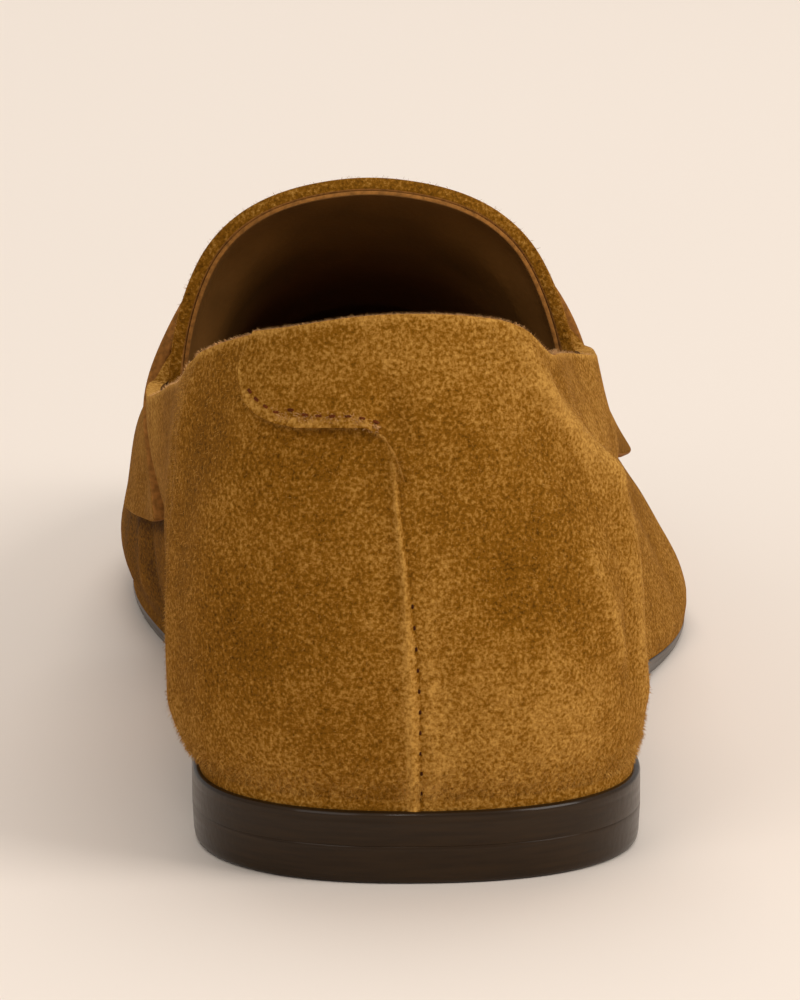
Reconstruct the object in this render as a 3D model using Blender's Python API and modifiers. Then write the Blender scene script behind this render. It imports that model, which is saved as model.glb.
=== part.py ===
"""A soft suede loafer for the right foot, built on the shape of its last.

Frame: metres, +Z up, +Y towards the toe, +X towards the lateral side.
The origin is on the floor under the centre of the heel.
The upper, tongue, strap and back tab are sheets drawn on one last and then
thickened, so that each lies on the next with a small gap.
"""

import math
from collections import namedtuple

import bmesh
import bpy
import numpy as np
from mathutils import Vector

MM = 0.001

# Driving sizes
SHOE_LENGTH = 256 * MM
HEEL_BACK = -30 * MM
TOE_TIP = HEEL_BACK + SHOE_LENGTH
HEEL_CENTRE = 0 * MM
TOE_ROUND_START = 165 * MM
TOE_CREST = 190 * MM
HEEL_SQUARENESS = 2.3
TOE_SQUARENESS = 2.4

UPPER_WALL = 2.0 * MM
TONGUE_THICK = 2.8 * MM
STRAP_THICK = 2.0 * MM
TAB_THICK = 1.2 * MM
INSOLE_THICK = 2.5 * MM
INSOLE_INSET = 4.8 * MM
SEAT_GAP = 0.3 * MM
TONGUE_GAP = 0.5 * MM
FEATHER_RISE = 1.5 * MM

HEEL_HEIGHT = 5.0 * MM
HEEL_BREAST = 33 * MM
HEEL_TAPER = 0.5 * MM
SOLE_LIP = 0.5 * MM
SOLE_EDGE_BEVEL = 0.8 * MM

QUARTER_END = 72 * MM
THROAT = 104 * MM

# Outline of the sole seen from above: distance from the heel's line to each edge.
Outline = namedtuple("Outline", "y medial lateral")
OUTLINE = [
    Outline(0, 30.0, 31.4),
    Outline(30, 28.8, 31.0),
    Outline(60, 25.2, 32.6),
    Outline(90, 27.2, 38.9),
    Outline(120, 33.0, 46.2),
    Outline(140, 36.0, 47.0),
    Outline(160, 36.6, 44.2),
    Outline(185, 34.6, 37.4),
    Outline(226, 28.0, 26.0),
]

# Side view of the sole: heights of its underside and of its upper face, and how far
# the upper stands in from the edge where it meets the sole.
Profile = namedtuple("Profile", "y under top feather")
PROFILE = [
    Profile(-30, 5.3, 10.0, 0.9),
    Profile(0, 5.3, 10.0, 0.9),
    Profile(34, 5.3, 9.6, 0.9),
    Profile(60, 3.3, 6.9, 0.8),
    Profile(85, 1.0, 3.7, 0.3),
    Profile(105, 0.0, 2.2, 0.0),
    Profile(130, 0.0, 2.1, 0.0),
    Profile(160, 0.0, 2.1, 0.0),
    Profile(180, 1.0, 3.1, 0.0),
    Profile(205, 3.8, 5.9, 0.1),
    Profile(226, 7.6, 9.7, 0.3),
]

# The last, one row for each section across it. The crest is its highest line.
# A wall leaves the sole outwards by "out" over "rise", and turns in over the
# foot at "crown", a share of the way from the sole's edge to the crest.
Section = namedtuple(
    "Section", "y crest_x crest_z out_medial out_lateral rise crown_medial crown_lateral"
)
SECTIONS = [
    Section(-30, -6.0, 106, 7.0, 7.0, 26, 0.05, 0.05),
    Section(0, -6.0, 106, 9.5, 7.0, 18, 0.02, 0.74),
    Section(30, -5.0, 101, 9.5, 3.0, 20, -0.22, 0.45),
    Section(66, -3.5, 82.5, 10.0, -8.0, 21, -0.84, -0.10),
    Section(82, -3.2, 73.4, 11.0, -8.0, 20, -0.45, 0.08),
    Section(100, -2.6, 65, 11.5, -5.0, 19, -0.10, 0.28),
    Section(125, -1.0, 55, 9.5, -5.0, 17, 0.10, 0.44),
    Section(155, 0.0, 46, 8.0, -2.3, 15, 0.24, 0.46),
    Section(190, -0.5, 37, 4.5, 3.0, 14, 0.36, 0.36),
    Section(226, -0.5, 32, 3.0, 3.0, 13, 0.42, 0.42),
]

# Height of the top line, from the centre back along each side to the strap.
# From the quarter's end the edge runs up under the strap to the throat.
TopLine = namedtuple("TopLine", "y medial lateral")
TOP_LINE = [
    TopLine(-30, 76.8, 76.8),
    TopLine(-27, 75.2, 75.0),
    TopLine(-22, 73.6, 70.8),
    TopLine(-14, 71.0, 68.8),
    TopLine(0, 65.0, 66.0),
    TopLine(30, 57.0, 61.0),
    TopLine(60, 50.5, 55.5),
    TopLine(76, 50.0, 54.0),
]

# Edges of the strap over the instep, from the crest down to its ends.
# "down" is the share of the way from the crest to the sole.
StrapEdge = namedtuple("StrapEdge", "down back front")
STRAP_EDGES = [
    StrapEdge(0.00, 83, 107),
    StrapEdge(0.25, 80, 109),
    StrapEdge(0.50, 77, 114),
    StrapEdge(0.72, 75, 118),
]
STRAP_DOWN_MEDIAL = 0.72
STRAP_DOWN_LATERAL = 0.62

# Edge of the tongue behind the strap, from the crest down inside the quarters.
TONGUE_BACK_CREST = 66 * MM
TONGUE_BACK_SIDE = 70 * MM
TONGUE_FRONT = 120 * MM
TONGUE_DOWN = 0.52

# The tab at the back, an extension of the lateral quarter sewn over the medial one.
TAB_HEIGHT = 13.5 * MM
TAB_MEDIAL_REACH = 0.51
TAB_LATERAL_REACH = 0.32
TAB_CORNER = 0.72
TAB_SKIVE = 0.5

# Facets
HEEL_COLUMNS = 9
QUARTER_COLUMNS = 7
THROAT_COLUMNS = 9
VAMP_COLUMNS = 7
TOE_COLUMNS = 9
WALL_ROWS = 14

MEDIAL, LATERAL = -1, 1

# Colours as linear red, green and blue
SUEDE = (0.30, 0.135, 0.022)
LINING = (0.13, 0.06, 0.018)
SOLE_BROWN = (0.022, 0.014, 0.011)


def smooth_column(rows, column):
    """A natural cubic spline through one column of a table, against y."""
    ys = np.array([row.y for row in rows], float) * MM
    values = np.array([getattr(row, column) for row in rows], float)
    steps = np.diff(ys)
    count = len(ys)
    matrix = np.eye(count)
    right = np.zeros(count)
    for i in range(1, count - 1):
        matrix[i, i - 1 : i + 2] = steps[i - 1], 2 * (steps[i - 1] + steps[i]), steps[i]
        slope_change = np.diff(values)[i] / steps[i] - np.diff(values)[i - 1] / steps[i - 1]
        right[i] = 6 * slope_change
    bends = np.linalg.solve(matrix, right)

    def value(y):
        y = min(max(y, ys[0]), ys[-1])
        i = min(max(int(np.searchsorted(ys, y)) - 1, 0), count - 2)
        a, b, h = ys[i + 1] - y, y - ys[i], steps[i]
        curve = (bends[i] * a**3 + bends[i + 1] * b**3) / (6 * h)
        return (
            curve
            + (values[i] / h - bends[i] * h / 6) * a
            + (values[i + 1] / h - bends[i + 1] * h / 6) * b
        )

    return value


def by_side(rows, stem=""):
    """The medial and lateral columns of a table, keyed by side."""
    return {
        MEDIAL: smooth_column(rows, stem + "medial"),
        LATERAL: smooth_column(rows, stem + "lateral"),
    }


half_width = by_side(OUTLINE)
wall_out = by_side(SECTIONS, "out_")
wall_crown = by_side(SECTIONS, "crown_")
top_line = by_side(TOP_LINE)
wall_rise = smooth_column(SECTIONS, "rise")
crest_x = smooth_column(SECTIONS, "crest_x")
crest_z = smooth_column(SECTIONS, "crest_z")
sole_under = smooth_column(PROFILE, "under")
sole_top = smooth_column(PROFILE, "top")
feather = smooth_column(PROFILE, "feather")


def end_round(y):
    """How far the outline is drawn in at the round heel and toe, from 1 to 0."""
    if y < HEEL_CENTRE:
        share, power = (HEEL_CENTRE - y) / (HEEL_CENTRE - HEEL_BACK), HEEL_SQUARENESS
    elif y > TOE_ROUND_START:
        share, power = (y - TOE_ROUND_START) / (TOE_TIP - TOE_ROUND_START), TOE_SQUARENESS
    else:
        return 1.0
    return max(0.0, 1 - min(share, 1.0) ** power) ** (1 / power)


def edge_x(side, y):
    """The sole's edge on one side of the heel's line."""
    return side * half_width[side](y) * MM * end_round(y)


def stations(toe=TOE_COLUMNS):
    """Places along the shoe, closer together round the heel and the toe."""
    turn = math.pi / 2
    heel_length = HEEL_CENTRE - HEEL_BACK
    toe_length = TOE_TIP - TOE_ROUND_START
    places = [
        HEEL_CENTRE - heel_length * math.cos(turn * i / HEEL_COLUMNS) ** (2 / HEEL_SQUARENESS)
        for i in range(HEEL_COLUMNS)
    ]
    places += list(np.linspace(HEEL_CENTRE, QUARTER_END, QUARTER_COLUMNS, endpoint=False))
    places += list(np.linspace(QUARTER_END, THROAT, THROAT_COLUMNS, endpoint=False))
    places += list(np.linspace(THROAT, TOE_ROUND_START, VAMP_COLUMNS, endpoint=False))
    places += [
        TOE_ROUND_START + toe_length * math.sin(turn * i / toe) ** (2 / TOE_SQUARENESS)
        for i in range(toe + 1)
    ]
    return places


def last_point(side, y, t):
    """A point of the last's skin: t runs from the sole's edge, 0, to the crest, 1."""
    crest_y = min(max(y, HEEL_CENTRE), TOE_CREST)
    crest = Vector((crest_x(crest_y) * MM, crest_y, crest_z(crest_y) * MM))
    edge = Vector((edge_x(side, y), y, sole_top(y) * MM + SEAT_GAP))
    inward = Vector((crest.x - edge.x, crest.y - edge.y, 0))
    reach = inward.length
    inward.normalize()
    start = edge + inward * feather(y) * MM + Vector((0, 0, FEATHER_RISE))
    low = edge - inward * wall_out[side](y) * MM + Vector((0, 0, wall_rise(y) * MM))
    high = edge + inward * wall_crown[side](y) * reach
    high.z = crest.z
    if y > TOE_CREST:
        step = 1 * MM
        fall = (crest_z(TOE_CREST) - crest_z(TOE_CREST - step)) * MM / step
        high.z += fall * (high.y - crest.y)
    s = 1 - t
    return s**3 * start + 3 * s * s * t * low + 3 * s * t * t * high + t**3 * crest


def share_at(side, y, height):
    """The t at which a section reaches a height."""
    low, high = 0.0, 1.0
    for _ in range(40):
        middle = (low + high) / 2
        if last_point(side, y, middle).z < height:
            low = middle
        else:
            high = middle
    return low


def top_share(side, y):
    """Where a section meets the top line: its t, or 1 where the vamp closes over."""
    if y >= THROAT:
        return 1.0
    if y <= QUARTER_END:
        return share_at(side, y, top_line[side](y) * MM)
    end = top_share(side, QUARTER_END)
    return end + (1 - end) * (y - QUARTER_END) / (THROAT - QUARTER_END)


def add_object(name, mesh, material, parts):
    mesh.materials.append(material)
    mesh.shade_smooth()
    mesh.set_sharp_from_angle(angle=math.radians(40))
    made = bpy.data.objects.new(name, mesh)
    parts.objects.link(made)
    return made


def mesh_of(name, grids):
    """A mesh from grids of points, welded where they meet."""
    shape = bmesh.new()
    for grid in grids:
        verts = [[shape.verts.new(point) for point in column] for column in grid]
        for left, right in zip(verts, verts[1:]):
            for i in range(len(left) - 1):
                shape.faces.new((left[i], right[i], right[i + 1], left[i + 1]))
    bmesh.ops.remove_doubles(shape, verts=shape.verts, dist=0.02 * MM)
    bmesh.ops.recalc_face_normals(shape, faces=shape.faces)
    mesh = bpy.data.meshes.new(name)
    shape.to_mesh(mesh)
    shape.free()
    return mesh


def thicken(sheet, lift, thickness, outwards):
    """Lifts a sheet off the last and gives it its thickness."""
    if lift:
        raise_it = sheet.modifiers.new("Lift", "DISPLACE")
        raise_it.strength = lift
        raise_it.mid_level = 0
    wall = sheet.modifiers.new("Wall", "SOLIDIFY")
    wall.thickness = thickness
    wall.offset = 1 if outwards else -1
    wall.use_even_offset = False
    return wall


def face_outwards(mesh):
    """Turns a sheet's faces so that they point away from the inside of the shoe."""
    inside = Vector((0, 0.08, 0.03))
    facing = sum(
        (face.center - inside).normalized().dot(face.normal) * face.area for face in mesh.polygons
    )
    if facing < 0:
        mesh.flip_normals()


def build_upper(material, parts):
    """Both quarters and the vamp, open at the collar and underneath."""
    grids = []
    for side in (MEDIAL, LATERAL):
        grid = []
        for y in stations():
            top = top_share(side, y)
            wall = [last_point(side, y, top * i / WALL_ROWS) for i in range(WALL_ROWS + 1)]
            foot = wall[0] - Vector((0, 0, FEATHER_RISE))
            grid.append([foot] + wall)
        grids.append(grid)
    mesh = mesh_of("upper", grids)
    face_outwards(mesh)
    thicken(add_object("upper", mesh, material, parts), 0, UPPER_WALL, outwards=False)


def strap_edge(column):
    rows = [namedtuple("Row", "y value")(row.down / MM, getattr(row, column)) for row in STRAP_EDGES]
    return smooth_column(rows, "value")


def instep_band(downs, backs_fronts, columns):
    """A band across the instep, from its medial end over the crest to its lateral end."""
    grid = []
    for side, down in downs:
        back, front = backs_fronts(down)
        row = []
        for i in range(columns + 1):
            row.append(last_point(side, back + (front - back) * i / columns, 1 - down))
        grid.append(row)
    return grid


def across(medial_end, lateral_end, count):
    """Places across the instep as side and share down from the crest."""
    medial = [(MEDIAL, medial_end * (1 - i / count)) for i in range(count)]
    lateral = [(LATERAL, lateral_end * i / count) for i in range(count + 1)]
    return medial + lateral


def build_strap(material, parts):
    """The saddle strap, sewn down at both sides over the quarters and the tongue."""
    back, front = strap_edge("back"), strap_edge("front")
    places = across(STRAP_DOWN_MEDIAL, STRAP_DOWN_LATERAL, 14)
    grid = instep_band(places, lambda down: (back(down) * MM, front(down) * MM), 6)
    mesh = mesh_of("saddle_strap", [grid])
    face_outwards(mesh)
    strap = add_object("saddle_strap", mesh, material, parts)
    thicken(strap, SEAT_GAP, STRAP_THICK, outwards=True)


def build_tongue(material, parts):
    """The lined tongue, tucked inside the quarters and under the vamp."""

    def edges(down):
        share = down / TONGUE_DOWN
        return TONGUE_BACK_CREST + (TONGUE_BACK_SIDE - TONGUE_BACK_CREST) * share**2, TONGUE_FRONT

    grid = instep_band(across(TONGUE_DOWN, TONGUE_DOWN, 12), edges, 8)
    mesh = mesh_of("tongue", [grid])
    face_outwards(mesh)
    tongue = add_object("tongue", mesh, material, parts)
    thicken(tongue, -(UPPER_WALL + TONGUE_GAP), TONGUE_THICK, outwards=False)


def build_back_tab(material, parts):
    """The end of the lateral quarter over the top of the back seam, skived to nothing at its root."""
    count = 14
    rows = 4
    turn = math.pi / 2
    grid = []
    thick = []
    for i in range(count + 1):
        along = i / count
        reach = TAB_LATERAL_REACH - (TAB_LATERAL_REACH + TAB_MEDIAL_REACH) * along
        side = LATERAL if reach > 0 else MEDIAL
        y = HEEL_CENTRE + (HEEL_BACK - HEEL_CENTRE) * math.cos(turn * reach) ** (2 / HEEL_SQUARENESS)
        corner = max(0.0, (along - TAB_CORNER) / (1 - TAB_CORNER))
        depth = TAB_HEIGHT * (1 - 0.8 * corner**2)
        top = top_line[side](y) * MM
        grid.append([last_point(side, y, share_at(side, y, top - depth * j / rows)) for j in range(rows + 1)])
        thick += [min(1.0, 0.2 + along / TAB_SKIVE)] * (rows + 1)
    mesh = mesh_of("back_tab", [grid])
    face_outwards(mesh)
    tab = add_object("back_tab", mesh, material, parts)
    wall = thicken(tab, SEAT_GAP, TAB_THICK, outwards=True)
    skive = tab.vertex_groups.new(name="skive")
    for i, weight in enumerate(thick):
        skive.add([i], weight, "REPLACE")
    wall.vertex_group = skive.name


def ladder_solid(name, ring_rows):
    """A flat-faced solid from rings of (medial, lateral) points, top ring first."""
    shape = bmesh.new()
    rings = []
    for pairs in ring_rows:
        medial = [shape.verts.new(pair[0]) for pair in pairs]
        lateral = [shape.verts.new(pair[1]) for pair in pairs]
        rings.append((medial, lateral))
    count = len(ring_rows[0])
    for (medial, lateral), up in ((rings[0], True), (rings[-1], False)):
        for i in range(count - 1):
            corners = [medial[i], lateral[i], lateral[i + 1], medial[i + 1]]
            shape.faces.new(corners if up else corners[::-1])
    for upper, lower in zip(rings, rings[1:]):
        for above, below in zip(upper, lower):
            for i in range(count - 1):
                shape.faces.new((above[i], above[i + 1], below[i + 1], below[i]))
        for i in (0, count - 1):
            shape.faces.new((upper[0][i], upper[1][i], lower[1][i], lower[0][i]))
    bmesh.ops.remove_doubles(shape, verts=shape.verts, dist=0.02 * MM)
    bmesh.ops.dissolve_degenerate(shape, edges=shape.edges, dist=0.005 * MM)
    bmesh.ops.recalc_face_normals(shape, faces=shape.faces)
    mesh = bpy.data.meshes.new(name)
    shape.to_mesh(mesh)
    shape.free()
    return mesh


def ring(ys, inset, height):
    """One ring of a sole piece: its outline drawn in square to itself, at a height."""
    loop = [Vector((edge_x(MEDIAL, y), y)) for y in ys]
    loop += [Vector((edge_x(LATERAL, y), y)) for y in reversed(ys)]
    drawn = []
    for i, point in enumerate(loop):
        before = next(p for p in reversed(loop[i:] + loop[:i]) if (p - point).length > 0.1 * MM)
        after = next(p for p in loop[i:] + loop[:i] if (p - point).length > 0.1 * MM)
        along_in = (point - before).normalized()
        along_out = (after - point).normalized()
        square = Vector((along_in.y + along_out.y, -along_in.x - along_out.x)).normalized()
        miter = max(0.5, square.dot(Vector((along_in.y, -along_in.x))))
        flat = point + square * inset / miter
        drawn.append(Vector((flat.x, flat.y, height(point.y))))
    half = len(ys)
    return list(zip(drawn[:half], reversed(drawn[half:])))


def build_outsole(material, parts):
    """The thin sole with its arch and toe spring, its edge lipped above and bevelled below."""
    ys = stations(toe=11)

    def top(y):
        return sole_top(y) * MM

    def under(y):
        return sole_under(y) * MM

    rings = [
        ring(ys, SOLE_LIP, top),
        ring(ys, 0, lambda y: top(y) - SOLE_LIP),
        ring(ys, 0, lambda y: under(y) + SOLE_EDGE_BEVEL),
        ring(ys, SOLE_EDGE_BEVEL, under),
    ]
    add_object("outsole", ladder_solid("outsole", rings), material, parts)


def build_heel(material, parts):
    """The low heel under the back of the sole."""
    ys = [y for y in stations() if y < HEEL_BREAST] + [HEEL_BREAST]
    edge = 0.4 * MM
    rings = [
        ring(ys, 0, lambda y: HEEL_HEIGHT),
        ring(ys, HEEL_TAPER, lambda y: edge),
        ring(ys, HEEL_TAPER + edge, lambda y: 0),
    ]
    add_object("heel", ladder_solid("heel", rings), material, parts)


def build_insole(material, parts):
    """The sock board that the foot stands on, inside the upper."""
    ys = stations()
    rings = [
        ring(ys, INSOLE_INSET, lambda y: sole_top(y) * MM + SEAT_GAP + INSOLE_THICK),
        ring(ys, INSOLE_INSET, lambda y: sole_top(y) * MM + SEAT_GAP),
    ]
    add_object("insole", ladder_solid("insole", rings), material, parts)


def finish_material(name, colour, roughness):
    material = bpy.data.materials.new(name)
    material.use_nodes = True
    shader = material.node_tree.nodes["Principled BSDF"]
    shader.inputs["Base Color"].default_value = (*colour, 1)
    shader.inputs["Roughness"].default_value = roughness
    shader.inputs["Metallic"].default_value = 0
    return material


def main():
    for old in list(bpy.data.objects):
        bpy.data.objects.remove(old)
    parts = bpy.data.collections.new("loafer")
    bpy.context.scene.collection.children.link(parts)
    suede = finish_material("suede", SUEDE, 0.95)
    lining = finish_material("lining_leather", LINING, 0.5)
    sole = finish_material("sole_leather", SOLE_BROWN, 0.35)
    build_outsole(sole, parts)
    build_heel(sole, parts)
    build_insole(lining, parts)
    build_upper(suede, parts)
    build_tongue(suede, parts)
    build_strap(suede, parts)
    build_back_tab(suede, parts)


if __name__ == "__main__":
    main()
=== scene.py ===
"""Dresses the solids of a soft suede loafer: suede, lining, stitching, sole and a plain studio.

Sizes inside the shape functions are in millimetres, as a last maker would note them.
"""

import math
from collections import namedtuple
from functools import partial

import bpy
import numpy as np
from bpy.props import FloatProperty, FloatVectorProperty, PointerProperty
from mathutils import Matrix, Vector


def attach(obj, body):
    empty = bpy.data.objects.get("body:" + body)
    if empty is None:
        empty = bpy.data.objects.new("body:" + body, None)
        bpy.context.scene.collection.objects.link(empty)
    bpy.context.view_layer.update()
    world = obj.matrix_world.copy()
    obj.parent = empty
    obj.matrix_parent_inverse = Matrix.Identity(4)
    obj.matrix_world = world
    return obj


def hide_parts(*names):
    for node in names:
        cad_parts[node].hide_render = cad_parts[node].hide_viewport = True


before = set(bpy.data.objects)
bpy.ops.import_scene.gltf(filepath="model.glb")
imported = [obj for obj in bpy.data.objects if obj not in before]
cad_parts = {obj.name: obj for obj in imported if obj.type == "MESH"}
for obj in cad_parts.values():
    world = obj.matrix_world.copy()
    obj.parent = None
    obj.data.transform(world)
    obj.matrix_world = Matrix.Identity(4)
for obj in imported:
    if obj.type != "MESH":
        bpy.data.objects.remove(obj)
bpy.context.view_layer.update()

bl_info = {
    "name": "Suede Loafer",
    "version": (1, 0, 0),
    "blender": (4, 5, 0),
    "location": "View3D > Sidebar > Loafer",
    "description": "Builds the visible pieces of a soft suede loafer and its stage",
    "category": "Add Mesh",
}

MM = 0.001
MEDIAL, LATERAL = -1, 1
UP = np.array([0.0, 0.0, 1.0])
TINY = 1e-6

# Last and sole, the same rows as in the part's source
HEEL_BACK, HEEL_CENTRE, HEEL_BREAST = -30.0, 0.0, 33.0
TOE_ROUND_START, TOE_CREST, TOE_TIP = 165.0, 190.0, 226.0
HEEL_SQUARENESS, TOE_SQUARENESS = 2.3, 2.4
QUARTER_END, THROAT = 72.0, 104.0
SEAT_GAP, FEATHER_RISE = 0.3, 1.5

Sides = namedtuple("Sides", "y medial lateral")
OUTLINE = [
    Sides(0, 30.0, 31.4),
    Sides(30, 28.8, 31.0),
    Sides(60, 25.2, 32.6),
    Sides(90, 27.2, 38.9),
    Sides(120, 33.0, 46.2),
    Sides(140, 36.0, 47.0),
    Sides(160, 36.6, 44.2),
    Sides(185, 34.6, 37.4),
    Sides(226, 28.0, 26.0),
]
TOP_LINE = [
    Sides(-30, 76.8, 76.8),
    Sides(-27, 75.2, 75.0),
    Sides(-22, 73.6, 70.8),
    Sides(-14, 71.0, 68.8),
    Sides(0, 65.0, 66.0),
    Sides(30, 57.0, 61.0),
    Sides(60, 50.5, 55.5),
    Sides(76, 50.0, 54.0),
]
Profile = namedtuple("Profile", "y under top feather")
PROFILE = [
    Profile(-30, 5.3, 10.0, 0.9),
    Profile(0, 5.3, 10.0, 0.9),
    Profile(34, 5.3, 9.6, 0.9),
    Profile(60, 3.3, 6.9, 0.8),
    Profile(85, 1.0, 3.7, 0.3),
    Profile(105, 0.0, 2.2, 0.0),
    Profile(130, 0.0, 2.1, 0.0),
    Profile(160, 0.0, 2.1, 0.0),
    Profile(180, 1.0, 3.1, 0.0),
    Profile(205, 3.8, 5.9, 0.1),
    Profile(226, 7.6, 9.7, 0.3),
]
Section = namedtuple(
    "Section", "y crest_x crest_z out_medial out_lateral rise crown_medial crown_lateral"
)
SECTIONS = [
    Section(-30, -6.0, 106, 7.0, 7.0, 26, 0.05, 0.05),
    Section(0, -6.0, 106, 9.5, 7.0, 18, 0.02, 0.74),
    Section(30, -5.0, 101, 9.5, 3.0, 20, -0.22, 0.45),
    Section(66, -3.5, 82.5, 10.0, -8.0, 21, -0.84, -0.10),
    Section(82, -3.2, 73.4, 11.0, -8.0, 20, -0.45, 0.08),
    Section(100, -2.6, 65, 11.5, -5.0, 19, -0.10, 0.28),
    Section(125, -1.0, 55, 9.5, -5.0, 17, 0.10, 0.44),
    Section(155, 0.0, 46, 8.0, -2.3, 15, 0.24, 0.46),
    Section(190, -0.5, 37, 4.5, 3.0, 14, 0.36, 0.36),
    Section(226, -0.5, 32, 3.0, 3.0, 13, 0.42, 0.42),
]
# Saddle strap and tongue lie across the instep: down is the share of the way from the
# crest of the last to the edge of the sole.
StrapEdge = namedtuple("StrapEdge", "down back front")
STRAP_EDGES = [
    StrapEdge(0.00, 83, 107),
    StrapEdge(0.25, 80, 109),
    StrapEdge(0.50, 77, 114),
    StrapEdge(0.72, 75, 118),
]
STRAP_DOWN = {MEDIAL: 0.72, LATERAL: 0.62}
TONGUE_BACK_CREST, TONGUE_BACK_SIDE, TONGUE_FRONT, TONGUE_DOWN = 66.0, 70.0, 120.0, 0.52

# How finely the skin of the last is divided: shares and counts round the heel, counts
# along the quarters, under the strap and along the vamp, round the toe, and up the wall.
HEEL_SHARES, HEEL_STEPS = (0, 0.13, 0.26, 1), (40, 18, 34)
SIDE_STEPS, TOE_STEPS = (40, 22, 28), 37
WALL_ROWS, WALL_SPACING = 58, 0.92
HALVINGS = 30
SKIN_STEP = 0.4

# Folds of the soft quarters: a line on the skin from its start to its end, each given as
# the way round from the centre back (lateral is positive) and the height; a ridge has a
# positive depth and a trough a negative one.
Fold = namedtuple("Fold", "way_1 z_1 way_2 z_2 width depth")
FOLDS = [
    Fold(19, 71, 21.5, 65, 2.4, 0.65),
    Fold(21.5, 65, 36, 52, 2.8, 1.05),
    Fold(36, 52, 42, 22, 3.4, 1.0),
    Fold(17, 62, 30, 47, 4.0, -0.5),
    Fold(24.8, 42.5, 30.5, 29, 1.9, 0.7),
    Fold(32, 45, 35.5, 27, 2.4, -0.8),
    Fold(27, 66, 38, 60, 2.6, -0.5),
    Fold(46, 58, 49, 22, 2.4, -0.7),
    Fold(53, 56, 53, 22, 3.0, 0.5),
    Fold(-45, 62, -48, 20, 3.5, 0.7),
    Fold(-36, 60, -40, 22, 5.0, -0.5),
    Fold(-54, 52, -56, 24, 3.0, -0.6),
    Fold(-40, 69, -44, 56, 2.0, 0.35),
    Fold(-30, 71, -32, 58, 3.5, -0.4),
    Fold(78, 50, 66, 16, 6.0, -0.7),
    Fold(92, 48, 82, 16, 5.0, 0.4),
    Fold(-76, 46, -66, 16, 6.0, -0.6),
    Fold(-92, 44, -84, 16, 5.0, 0.4),
    Fold(-10, 30, -32, 17, 7.0, 0.4),
    Fold(10, 30, 34, 16, 7.0, 0.4),
    Fold(-156, 20, -158, 9, 3.0, -0.7),
    Fold(-165, 19, -168, 9, 3.0, 0.6),
    Fold(-180, 18, -183, 8, 4.0, 0.4),
    Fold(164, 22, 168, 7, 4.0, -0.6),
    Fold(178, 20, 182, 6, 3.5, 0.5),
]
FOLD_FOOT, FOLD_FULL = -1.0, 9.0

# Slack of the wall: two faint waves that end where the vamp is drawn tight.
SLACK_HEIGHT, SLACK_WAY, SLACK_Z, SLACK_WAY_START, SLACK_Z_START = 0.35, 8.3, 11.0, 1.1, 0.6
DRIFT_HEIGHT, DRIFT_WAY, DRIFT_Z = 0.25, 5.1, 9.7
SLACK_HELD, SLACK_END = 100.0, 130.0

# The quarters gape a little where they run under the strap, and the tongue with them.
GAPE = {MEDIAL: 2.4, LATERAL: 2.6}
GAPE_START, GAPE_FULL, GAPE_HELD, GAPE_END = 40.0, 58.0, 69.0, 77.0
GAPE_FOOT, GAPE_TOP = 26.0, 48.0
GAPE_SETTLE = 0.35

# Soft swellings of the wall: over the rim beside the heel and in the lateral quarter, and
# a hollow in the vamp below the medial end of the strap.
Swell = namedtuple("Swell", "way z reach_way reach_z height")
SWELLS = [
    Swell(-50, 15, 22, 5.5, 0.9),
    Swell(43, 41, 13, 11, 1.9),
    Swell(90, 45, 22, 9, 1.7),
    Swell(103, 42, 11, 5, 1.3),
    Swell(183, 8, 24, 8, 0.75),
    Swell(37.5, 49.5, 6, 6.5, 0.9),
    Swell(-192, 17.5, 26, 5, -1.0),
]
SWELL_FULL = 3.5

# Lighter and darker areas of the nap: centre, reach and strength, lighter when positive. They are
# partly the nap's own tone and partly painted light and shade: paler where the lamps on the right
# fall, and a painted shadow over the medial forefoot.
Brush = namedtuple("Brush", "way z reach_way reach_z tone")
NAP_AND_PAINTED_LIGHT = [
    Brush(0, 71, 27, 7, 0.45),
    Brush(17, 64, 7, 6, 0.3),
    Brush(19, 19, 15, 9, 0.5),
    Brush(1.5, 23, 5, 14, 0.45),
    Brush(-16, 13, 15, 4, 0.45),
    Brush(40, 40, 6, 24, 0.7),
    Brush(27, 60, 5, 8, 0.35),
    Brush(4.5, 42, 4, 9, 0.15),
    Brush(13, 42, 9, 9, -0.1),
    Brush(-16, 54, 12, 7, -0.4),
    Brush(-22, 34, 14, 14, -0.3),
    Brush(-8, 40, 5, 18, 0.15),
    Brush(-44, 56, 6, 12, 0.2),
    Brush(70, 34, 22, 16, 0.3),
    Brush(-70, 30, 22, 16, -0.1),
    # Painted shadow over the medial forefoot
    Brush(-168, 16, 34, 18, -0.95),
]

# Painted highlights along the crests of the lateral folds and of a medial wrinkle, and a painted
# shadow below the medial end of the strap, as lines like the folds.
Streak = namedtuple("Streak", "way_1 z_1 way_2 z_2 width tone")
PAINTED_STREAKS = [
    Streak(18.5, 71.5, 21.5, 65, 0.9, 0.7),
    Streak(21.5, 65, 27, 59.5, 1.0, 0.9),
    Streak(27, 59.5, 36, 52, 1.3, 0.6),
    Streak(24.8, 42.5, 30.5, 29, 0.9, 0.8),
    Streak(37, 38, 39.5, 28, 0.9, 0.5),
    Streak(24.5, 62.5, 31, 50, 0.9, 0.4),
    # Painted shadow below the medial end of the strap
    Streak(-122, 27.2, -170, 19.2, 1.2, -2.0),
    # Painted highlight on a medial wrinkle
    Streak(-165, 18, -168, 9, 1.6, 0.5),
]
# Painted light on the fold crests and painted shade in the troughs, and the limits of the tone
CREST_PAINTED_LIGHT, TONE_DARKEST, TONE_LIGHTEST = 0.42, -1.9, 1.2
COLLAR_TONE, COLLAR_REACH = 1.1, 0.6

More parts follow.
